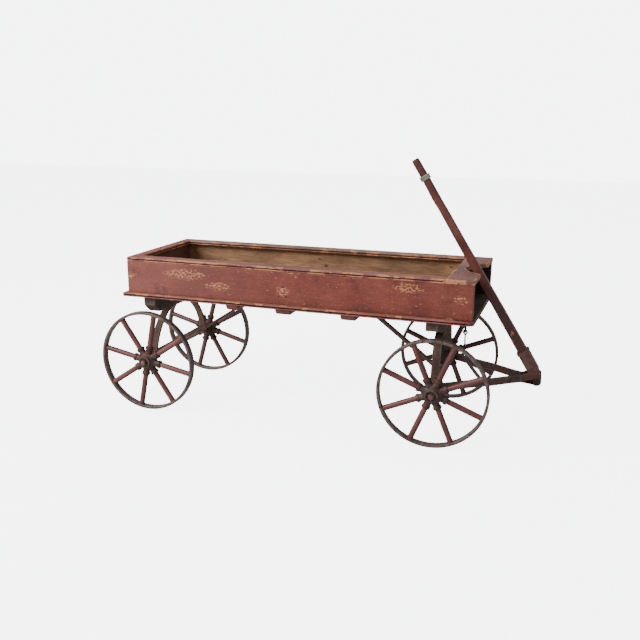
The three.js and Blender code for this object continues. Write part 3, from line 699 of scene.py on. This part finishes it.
def collar_profile():
    start, neck, rim = COLLAR["start"], COLLAR["neck"], COLLAR["rim"]
    rim_start, reach = COLLAR["rim_start"], COLLAR["reach"]
    return [
        (0.01, start), (neck + 2.2, start), (neck + 1.0, start + 9), (neck + 0.2, start + 12),
        (neck, rim_start - 2), (neck + 0.5, rim_start - 0.8), (rim - 0.6, rim_start), (rim, rim_start + 1.2),
        (rim, reach - 1.6), (rim - 1.0, reach - 0.3), (SPOKE_RADIUS + 1.2, reach), (0.01, reach),
    ]


def spoke_direction(angle):
    return Vector((cos(angle), 0, sin(angle)))


def spoke_frame(matrix, angle):
    """Y runs out along one spoke."""
    along = spoke_direction(angle)
    across = Vector((0, 1, 0))
    return matrix @ placed(Vector((0, 0, 0)), across, along, across.cross(along))


def add_hub(name, matrix, angles, body):
    drum = bmesh.new()
    profile = hub_profile()
    wear = [0.7 if 13 < i < 19 else 0.15 for i in range(len(profile))]
    lathe(drum, profile, Matrix.Identity(4), 64, True, wear)
    base = bpy.data.meshes.new("drum")
    bmesh.ops.recalc_face_normals(drum, faces=drum.faces)
    drum.to_mesh(base)
    drum.free()
    whole = bpy.data.objects.new("drum", base)
    bpy.context.scene.collection.objects.link(whole)
    sockets = []
    for angle in angles:
        bm = bmesh.new()
        collar = collar_profile()
        collar_wear = [0.2] * 6 + [1.0] * 4 + [0.3] * 2
        lathe(bm, collar, spoke_frame(Matrix.Identity(4), angle), 24, False, collar_wear)
        bmesh.ops.remove_doubles(bm, verts=bm.verts, dist=1e-4)
        bmesh.ops.recalc_face_normals(bm, faces=bm.faces)
        mesh = bpy.data.meshes.new("collar")
        bm.to_mesh(mesh)
        bm.free()
        socket = bpy.data.objects.new("collar", mesh)
        bpy.context.scene.collection.objects.link(socket)
        sockets.append(socket)
        union = whole.modifiers.new("union", "BOOLEAN")
        union.operation = "UNION"
        union.solver = "EXACT"
        union.object = socket
    graph = bpy.context.evaluated_depsgraph_get()
    bm = bmesh.new()
    bm.from_mesh(whole.evaluated_get(graph).to_mesh())
    for extra in [*sockets, whole]:
        bpy.data.objects.remove(extra)
    bore = HUB["bore"] * MM
    inside = [f for f in bm.faces if f.calc_center_median().xz.length < bore * 0.9]
    bmesh.ops.delete(bm, geom=inside, context="FACES")
    bm.transform(matrix)
    piece = make_object(f"{name}_hub_piece", bm, hub_iron, body, smooth=50)
    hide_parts(f"{name}_hub")


def add_spokes(name, matrix, angles, body, paint):
    inner = COLLAR["reach"] - 9
    outer = TYRE["radius"] - TYRE["thickness"] - 0.1
    for number, angle in enumerate(angles, 1):
        bm = bmesh.new()
        steps = 16
        profile = []
        for step in range(steps + 1):
            along = inner + (outer - inner) * step / steps
            wave = 0.18 * noise.noise(Vector((number * 3.1, along * 0.05, len(name))))
            swell = 0.25 * sin(pi * step / steps)
            foot = 0.7 if step == steps else 0.15 if step == steps - 1 else 0
            profile.append((SPOKE_RADIUS - 0.35 + swell + wave + foot, along))
        wears = [0.25 + 0.5 * (step > steps - 2) for step in range(steps + 1)]
        lathe(bm, profile, spoke_frame(matrix, angle), 20, False, wears)
        piece = make_object(f"{name}_spoke_{number}", bm, paint, body, smooth=60)
        if number == 1:
            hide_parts(f"{name}_spokes")


def add_spindle_end(name, matrix, parent):
    bm = bmesh.new()
    radius, inner, end = SPINDLE["radius"], SPINDLE["inner"], SPINDLE["outer"]
    profile = [
        (1.2, inner), (radius - 1, inner), (radius, inner + 1), (radius, end - 2.2),
        (radius - 0.8, end - 0.8), (radius - 2.6, end - 0.05), (1.2, end),
    ]
    lathe(bm, profile, matrix, 28, False, [0.4, 0.6, 0, 0, 0.6, 1, 0.6])
    spindle = make_object(f"{name}_spindle_piece", bm, iron, parent)
    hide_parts(f"{name}_spindle")
    worn_copy(f"{name}_nut", iron, parent, bevel=1.3, border=1.5)


def add_wheels():
    for name, first in SPOKE_ANGLES.items():
        matrix, side = wheel_frame(name)
        start = first if side > 0 else 180 - first
        angles = [radians(start) + 2 * pi * k / SPOKE_COUNT for k in range(SPOKE_COUNT)]
        body = f"{name}_wheel"
        parent = "bed" if name.startswith("rear") else "front_gear"
        add_tyre(name, matrix, body)
        add_hub(name, matrix, angles, body)
        # The far (left) wheels take the shaded copy of the spoke paint: painted shade.
        add_spokes(name, matrix, angles, body, far_shaded_paint if side > 0 else spoke_paint)
        add_spindle_end(name, matrix, parent)


# ---- Hook and nails ---------------------------------------------------------------------

def smooth_path(points, steps=6):
    """Points along a smooth curve through the given ones."""
    path = []
    for index in range(len(points) - 1):
        before = points[max(index - 1, 0)]
        here, after = points[index], points[index + 1]
        beyond = points[min(index + 2, len(points) - 1)]
        for step in range(steps):
            t = step / steps
            path.append(0.5 * (
                2 * here + (after - before) * t
                + (2 * before - 5 * here + 4 * after - beyond) * t * t
                + (3 * here - 3 * after + beyond - before) * t * t * t))
    return [*path, points[-1]]


def sweep(bm, path, normal, radius, closed=False, sides=14):
    """A round wire along a path that lies in a plane with this normal."""
    layer = bm.verts.layers.float.get("wear") or bm.verts.layers.float.new("wear")
    count = len(path)
    rings = []
    for index, here in enumerate(path):
        before = path[(index - 1) % count] if closed or index else here
        after = path[(index + 1) % count] if closed or index < count - 1 else here
        side = normal.cross(after - before).normalized()
        ring = []
        for step in range(sides):
            angle = 2 * pi * step / sides
            vert = bm.verts.new(here + radius * (cos(angle) * side + sin(angle) * normal))
            vert[layer] = 0.4
            ring.append(vert)
        rings.append(ring)
    for index in range(count if closed else count - 1):
        here, after = rings[index], rings[(index + 1) % count]
        for step in range(sides):
            following = (step + 1) % sides
            bm.faces.new((here[step], here[following], after[following], after[step]))
    if not closed:
        bm.faces.new(list(reversed(rings[0])))
        bm.faces.new(rings[-1])


def add_hook():
    pivot = Vector(JOINTS["hook_swing"]["pos_m"])
    wire, half_width, half_height = HOOK["wire"] * MM, HOOK["half_width"] * MM, HOOK["half_height"] * MM
    centre = pivot - Vector((0, 0, HOOK["below_pivot"] * MM))
    bm = bmesh.new()
    ring = []
    for step in range(28):
        angle = 2 * pi * step / 28
        ring.append(centre + Vector((half_width * cos(angle), 0, half_height * sin(angle))))
    sweep(bm, ring, Vector((0, 1, 0)), wire, closed=True)
    top = centre - Vector((0, 0, half_height))
    shank = [top + Vector((x, 0, z)) * MM for x, z in HOOK["shank"]]
    sweep(bm, smooth_path(shank), Vector((0, 1, 0)), wire)
    hook = make_object("hook_piece", bm, nail_iron, "hook", smooth=60)
    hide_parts("hook")
    bm = bmesh.new()
    staple = [pivot + Vector((0, y, z)) * MM for y, z in HOOK["staple"]]
    sweep(bm, smooth_path(staple), Vector((1, 0, 0)), wire)
    piece = make_object("hook_staple_piece", bm, nail_iron, "bed", smooth=60)
    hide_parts("hook_staple")


def nail_heads(name, places, facing, body="bed", radius=2.7, finish=None):
    """Low domed heads, sunk a little into a face."""
    bm = bmesh.new()
    out = Vector(facing).normalized()
    side = out.orthogonal().normalized()
    profile = [
        (0.05, -0.6), (radius, -0.6), (radius, 0.1), (radius * 0.8, 0.55), (radius * 0.4, 0.75), (0.05, 0.8),
    ]
    wear = [0, 0, 0.6, 1, 0.6, 0.4]
    for place in places:
        lathe(bm, profile, placed(Vector(place), side, out, side.cross(out)), 12, False, wear)
    make_object(name, bm, finish or nail_iron, body, smooth=50)


def add_nails():
    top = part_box("side_rail_right")[1][2]
    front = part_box("front_cap")[1][0]
    board_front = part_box("front_board")
    board_middle = (board_front[0][0] + board_front[1][0]) / 2
    for side, name in ((-1, "right"), (1, "left")):
        face = [(REAR + x, side * OUTSIDE, z) for x, z in SIDE_NAILS]
        nail_heads(f"side_nails_{name}", face, (0, side, 0))
        board_ends = (REAR + 0.011, board_middle)
        ends = [(x, side * OUTSIDE, z) for x in board_ends for z in BOARD_END_NAIL_HEIGHTS]
        nail_heads(f"painted_nails_{name}", ends, (0, side, 0), radius=2.1, finish=side_paint)
        along = [REAR + RAIL_NAILS["first"] + RAIL_NAILS["step"] * k for k in range(RAIL_NAILS["count"])]
        rail = [(x, side * (OUTSIDE - 0.011), top) for x in along]
        nail_heads(f"rail_nails_{name}", rail, (0, 0, 1), radius=2.2)
    cap = [(front - x, y, top) for x in (0.018, 0.058) for y in (-0.172, 0.172)]
    cap += [(front - 0.058, y, top) for y in (-0.09, 0.09)]
    nail_heads("cap_nails", cap, (0, 0, 1), radius=2.2)
    rear_nails = [(REAR + 0.011, y, top) for y in (-0.11, 0, 0.11)]
    nail_heads("rear_rail_nails", rear_nails, (0, 0, 1), radius=2.2)
    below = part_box("cleat_1")[0][2]
    under = []
    for number in (1, 2, 3):
        low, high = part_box(f"cleat_{number}")
        under += [((low[0] + high[0]) / 2, y, below) for y in (-0.15, -0.06, 0.06, 0.15)]
    nail_heads("cleat_nails", under, (0, 0, -1), radius=3.2)


# ---- Build ----------------------------------------------------------------------------

add_camera(place=(0.74076, -2.2053, 0.8862), azimuth=18.86, elevation=14.75, roll=0.31, lens=44.68)
add_studio()
add_box()
add_running_timber()
add_front_iron()
add_handle()
add_wheels()
add_hook()
add_nails()
